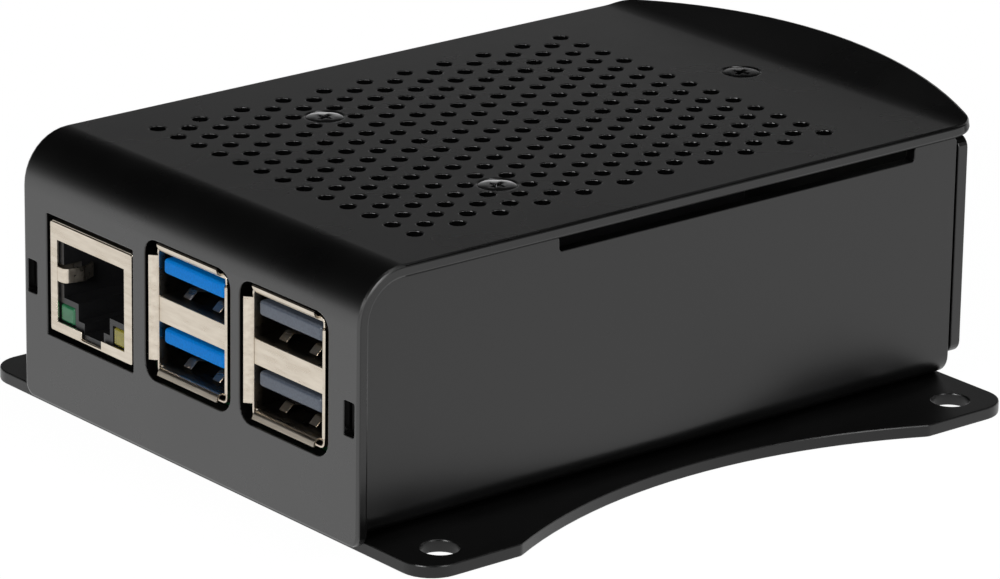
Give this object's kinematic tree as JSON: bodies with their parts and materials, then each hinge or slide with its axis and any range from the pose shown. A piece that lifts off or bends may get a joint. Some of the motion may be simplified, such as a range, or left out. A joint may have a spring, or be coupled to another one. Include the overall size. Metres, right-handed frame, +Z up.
{
  "type": "single board computer case",
  "caption": "Black folded sheet metal case for a small single board computer, with a perforated top, front port windows, a board, a fan and a mounting plate with ears.",
  "frame": {"origin": "centre of the four ear holes, on the underside of the mounting plate", "axes": "+X along the port face to its right, +Y from the port face to the rear lip, +Z up out of the perforated top"},
  "size_m": [0.0838, 0.0991, 0.035],
  "materials": {
    "cover_coat": "satin black powder coat",
    "tray_coat": "satin black powder coat",
    "plate_coat": "satin black powder coat",
    "bright_screw": "bright zinc",
    "black_screw": "black oxide",
    "plain_steel": "zinc plated",
    "pillar_brass": "turned brass",
    "fan_plastic": "moulded black",
    "rotor_plastic": "moulded black",
    "bearing_bronze": "sintered bronze",
    "board_green": "green solder mask",
    "chip_black": "moulded resin",
    "chip_green": "carrier laminate",
    "chip_lid": "nickel plated lid",
    "port_shell": "nickel plated sheet",
    "socket_black": "moulded black",
    "socket_pale": "moulded cream",
    "contact_gold": "gold flashed",
    "tongue_blue": "moulded blue",
    "tongue_grey": "moulded grey blue",
    "lens_green": "tinted light guide",
    "lens_yellow": "tinted light guide",
    "lamp_white": "clear cast",
    "pin_gold": "gold flashed"
  },
  "bodies": {
    "case": {"mounting_plate": "plate_coat", "top_cover": "cover_coat", "base_tray": "tray_coat", "fan_screws": "bright_screw", "fan_nuts": "plain_steel", "cover_screw": "black_screw", "clinch_nut": "plain_steel", "board_pillars": "pillar_brass", "board_screws": "plain_steel", "plate_screws": "black_screw", "fan_frame": "fan_plastic", "fan_bearing": "bearing_bronze", "circuit_board": "board_green", "processor_carrier": "chip_green", "processor_lid": "chip_lid", "memory_chip": "chip_black", "port_controller": "chip_black", "power_chip": "chip_black", "network_chip": "chip_black", "radio_shield": "chip_lid", "power_coils": "chip_black", "capacitors": "socket_pale", "camera_sockets": "socket_pale", "camera_socket_latches": "socket_black", "expansion_socket": "socket_pale", "fan_socket": "socket_pale", "video_sockets": "port_shell", "side_socket_tongues": "socket_black", "power_socket": "port_shell", "card_socket": "port_shell", "pin_header": "socket_black", "header_pins": "pin_gold", "switch_case": "port_shell", "status_lamp": "lamp_white", "network_socket_shell": "port_shell", "network_socket_insert": "socket_black", "link_lens": "lens_green", "traffic_lens": "lens_yellow", "network_contacts": "contact_gold", "fast_port_shell": "port_shell", "fast_port_tongues": "tongue_blue", "slow_port_shell": "port_shell", "slow_port_tongues": "tongue_grey"},
    "fan": {"fan_rotor": "rotor_plastic"},
    "button": {"switch_plunger": "socket_black"}
  },
  "joints": [
    {"name": "fan_spin", "type": "hinge", "parent": "case", "child": "fan", "pos_m": [0, 0.00228, 0.0266], "axis": [0, 0, 1], "continuous": true},
    {"name": "power_button_push", "type": "slide", "parent": "case", "child": "button", "axis": [0, -1, 0], "range_m": [0, 0.0003], "stiffness_N_per_m": 2000}
  ]
}
